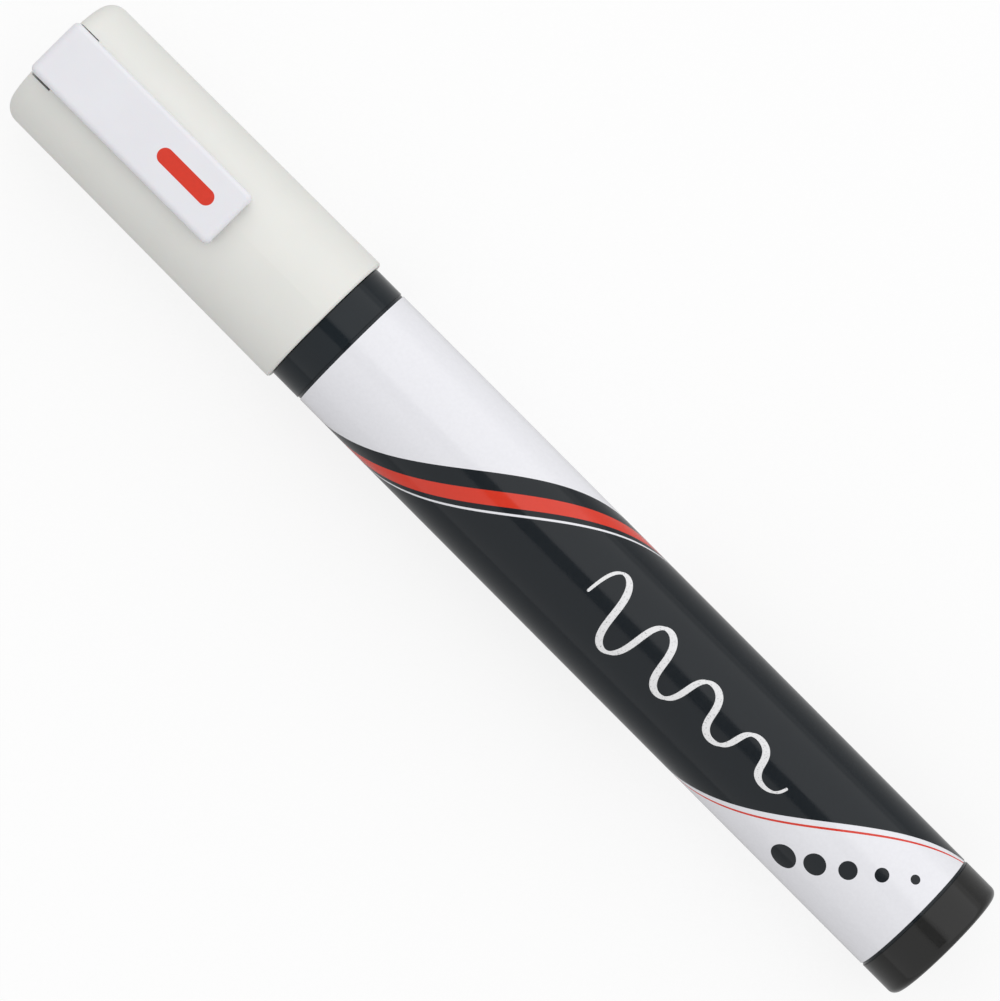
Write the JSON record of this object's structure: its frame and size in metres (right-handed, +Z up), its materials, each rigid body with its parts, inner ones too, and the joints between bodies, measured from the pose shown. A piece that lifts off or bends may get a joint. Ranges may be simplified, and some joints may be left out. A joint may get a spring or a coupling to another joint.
{
  "type": "liquid chalk marker",
  "caption": "Round liquid chalk marker with a pull-off cap, pocket clip, wrapped label, bullet nib that presses in to open a sprung pump valve, and a loose mixing ball in its ink tank.",
  "frame": {"origin": "on the surface the marker lies on, under the middle of its length", "axes": "+X along the marker towards its tail, so the nib points to -X; +Z up, towards the clip"},
  "size_m": [0.136, 0.0172, 0.0191],
  "materials": {
    "cap_ivory": "satin ivory white moulding",
    "clip_white": "satin cool white moulding",
    "natural_plastic": "unpigmented waxy plastic",
    "black_gloss": "polished black moulding",
    "tail_black": "satin black moulding",
    "label_film": "printed gloss film",
    "nib_fibre": "bonded fibre",
    "seal_rubber": "soft matt",
    "spring_steel": "drawn wire",
    "ball_steel": "ground"
  },
  "bodies": {
    "barrel": {"barrel_tube": "black_gloss", "label_sleeve": "label_film", "tail_plug": "tail_black", "front_section": "black_gloss", "valve_seat": "seal_rubber", "valve_case": "natural_plastic", "valve_spring": "spring_steel"},
    "cap": {"cap_shell": "cap_ivory", "inner_cap": "natural_plastic"},
    "clip": {"cap_clip": "clip_white"},
    "nib": {"nib": "nib_fibre"},
    "valve": {"valve_rod": "natural_plastic"},
    "ball": {"mixing_ball": "ball_steel"}
  },
  "joints": [
    {"name": "cap_pull", "type": "slide", "parent": "barrel", "child": "cap", "axis": [-1, 0, 0], "range_m": [0, 0.045]},
    {"name": "clip_flex", "type": "hinge", "parent": "cap", "child": "clip", "pos_m": [-0.06655, 0, 0.0161], "axis": [0, -1, 0], "range_deg": [0, 4], "stiffness_Nm_per_rad": 1},
    {"name": "nib_press", "type": "slide", "parent": "barrel", "child": "nib", "axis": [1, 0, 0], "range_m": [0, 0.0015], "stiffness_N_per_m": 300, "springref_m": -0.003},
    {"name": "valve_lift", "type": "slide", "parent": "barrel", "child": "valve", "axis": [1, 0, 0], "range_m": [0, 0.0015], "deforming": ["valve_spring"]},
    {"name": "ball_run", "type": "slide", "parent": "barrel", "child": "ball", "axis": [-1, 0, 0], "range_m": [0, 0.055]}
  ],
  "couplings": [
    {"joint": "valve_lift", "follows": "nib_press", "ratio": 1}
  ]
}
